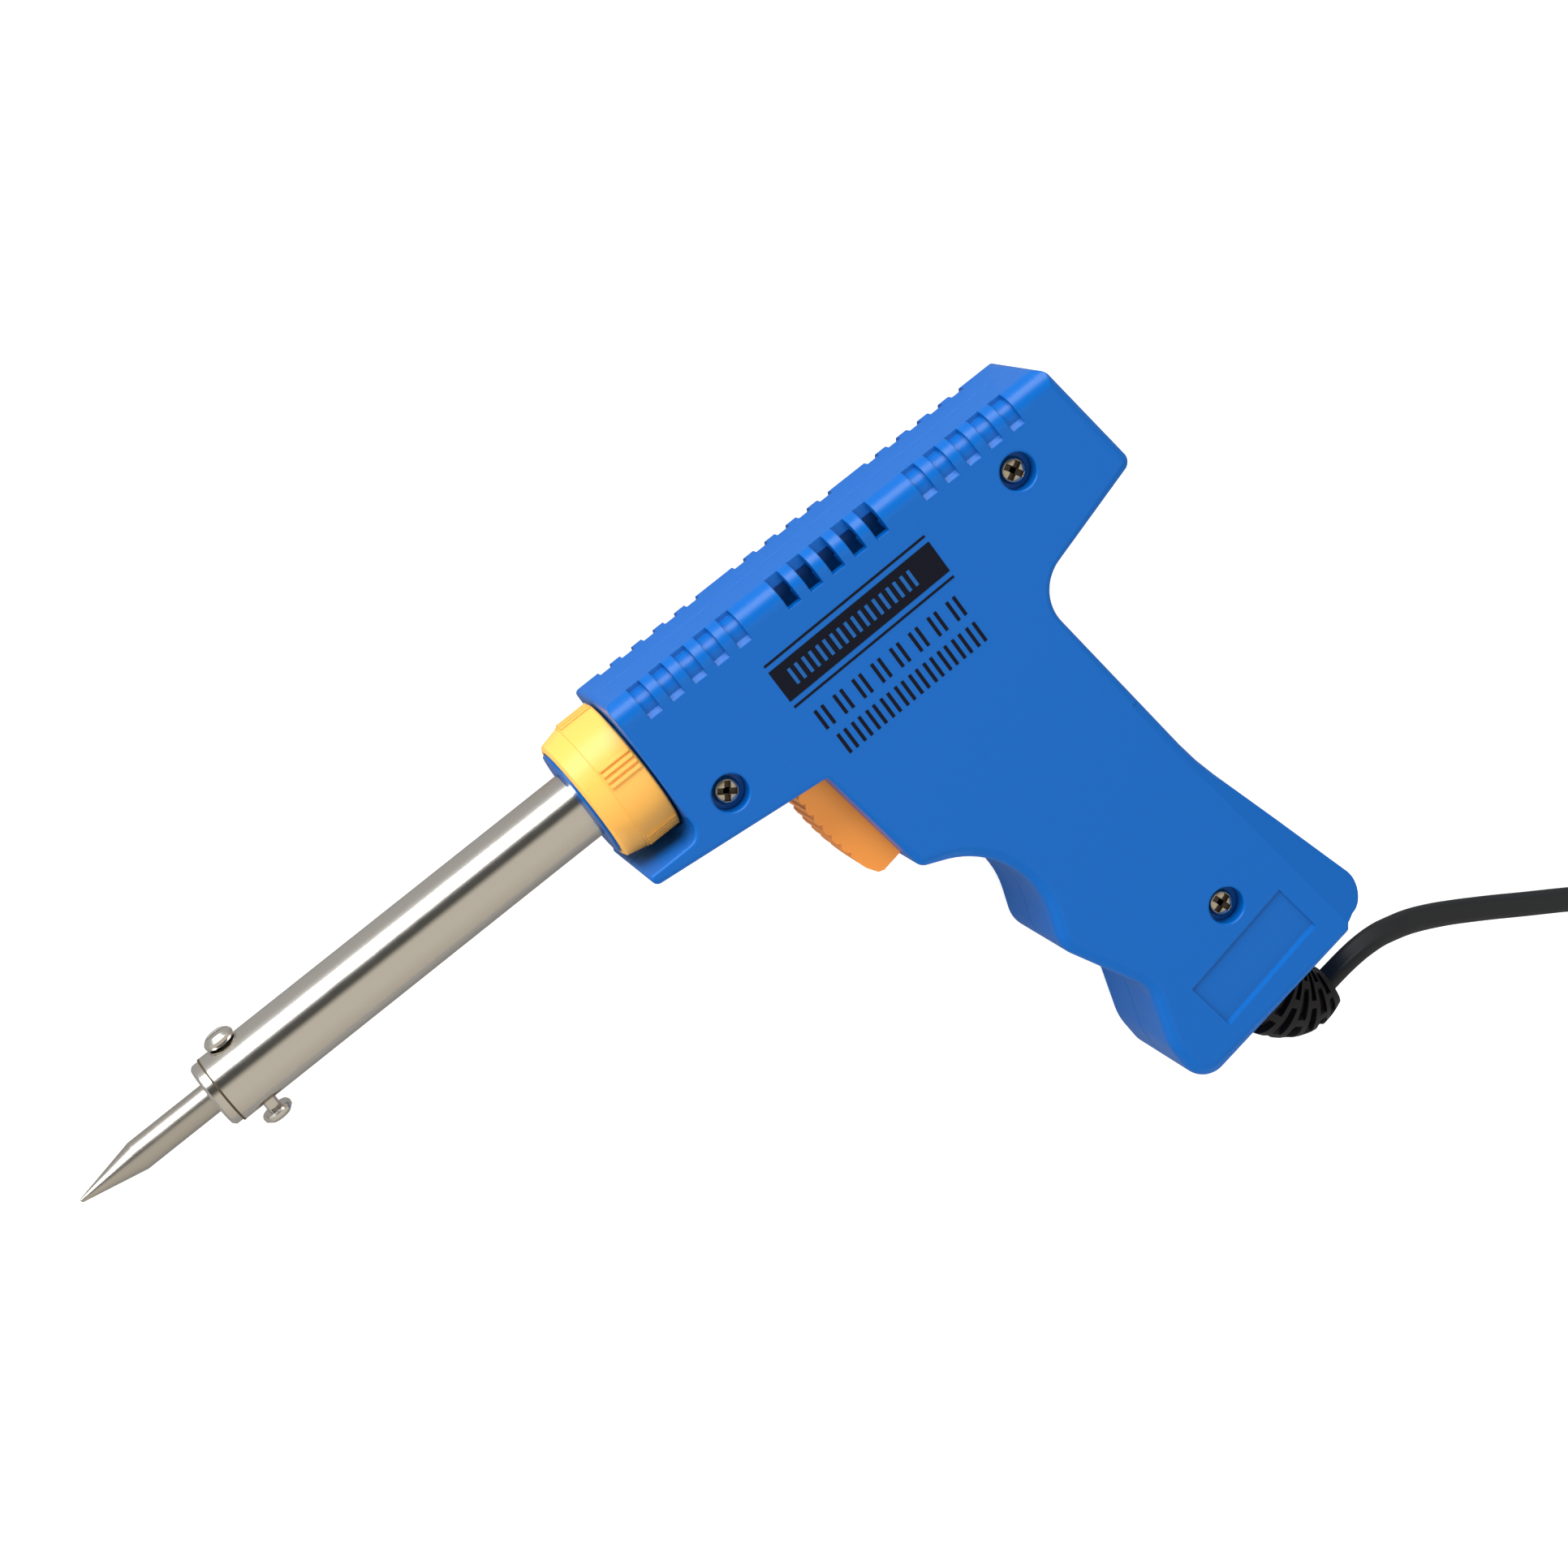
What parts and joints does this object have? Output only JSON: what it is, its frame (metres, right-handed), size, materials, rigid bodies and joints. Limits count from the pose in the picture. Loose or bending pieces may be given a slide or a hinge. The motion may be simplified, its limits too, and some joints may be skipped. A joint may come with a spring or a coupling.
{
  "type": "pistol-grip soldering iron",
  "caption": "Pistol-grip electric soldering iron with a straight steel barrel, conical tip, bowed trigger, vented two-part housing and flat mains lead.",
  "frame": {"origin": "bottom centre of the tool without its cord: it lies on its right side, so the right shell's face is the floor", "axes": "+X from the tip towards the rear of the housing, +Y from the grip towards the vented back of the housing, +Z out of the left side, upwards"},
  "size_m": [0.383, 0.2091, 0.032],
  "materials": {
    "housing": "satin blue moulded plastic",
    "accent": "satin orange moulded plastic",
    "plated_steel": "bright nickel plate",
    "tip_plating": "dull iron and chrome plate over copper",
    "zinc_screw": "zinc plate",
    "spring_steel": "plain spring wire",
    "ceramic": "unglazed white ceramic",
    "heater_wire": "oxidised resistance wire",
    "mica": "rolled mica sheet",
    "glass_sleeving": "woven glass sleeving",
    "terminal_plastic": "moulded terminal strip",
    "contact_brass": "bright brass",
    "switch_plastic": "black moulded plastic",
    "plunger_plastic": "red moulded plastic",
    "wire_brown": "brown insulation",
    "wire_blue": "blue insulation",
    "lead_jacket": "satin black flexible jacket",
    "relief_rubber": "satin black rubber"
  },
  "bodies": {
    "housing": {"left_shell": "housing", "right_shell": "housing", "housing_screws": "zinc_screw", "barrel_tube": "plated_steel", "tip_socket": "plated_steel", "soldering_tip": "tip_plating", "tip_clamp_screws": "plated_steel", "heater_former": "ceramic", "heater_winding": "heater_wire", "mica_sleeve": "mica", "rear_bead": "ceramic", "heater_leads": "glass_sleeving", "terminal_block": "terminal_plastic", "terminal_screws": "contact_brass", "trigger_spring": "spring_steel", "switch_body": "switch_plastic", "switch_terminals": "contact_brass", "power_diode": "switch_plastic", "switched_wire": "wire_brown", "neutral_wire": "wire_blue", "live_wire": "wire_brown", "inner_lead": "lead_jacket", "cord_clamp": "switch_plastic", "cord_clamp_screws": "zinc_screw", "strain_relief": "relief_rubber", "mains_lead": "lead_jacket", "cord_coil": "lead_jacket", "cord_tie": "relief_rubber", "plug_lead": "lead_jacket", "plug_body": "lead_jacket", "plug_pins": "plated_steel"},
    "collar": {"collar_ring": "accent"},
    "trigger": {"trigger": "accent"},
    "plunger": {"switch_plunger": "plunger_plastic"}
  },
  "joints": [
    {"name": "trigger_squeeze", "type": "slide", "parent": "housing", "child": "trigger", "axis": [0.9871, 0.1599, 0], "range_m": [0, 0.003], "stiffness_N_per_m": 400, "springref_m": -0.004, "deforming": ["trigger_spring"]},
    {"name": "plunger_push", "type": "slide", "parent": "housing", "child": "plunger", "axis": [0.9871, 0.1599, 0], "range_m": [0, 0.003]},
    {"name": "collar_twist", "type": "hinge", "parent": "housing", "child": "collar", "pos_m": [0.0047, 0.06062, 0.016], "axis": [1, 0, 0], "range_deg": [0, 30]}
  ],
  "couplings": [
    {"joint": "plunger_push", "follows": "trigger_squeeze", "ratio": 1}
  ]
}
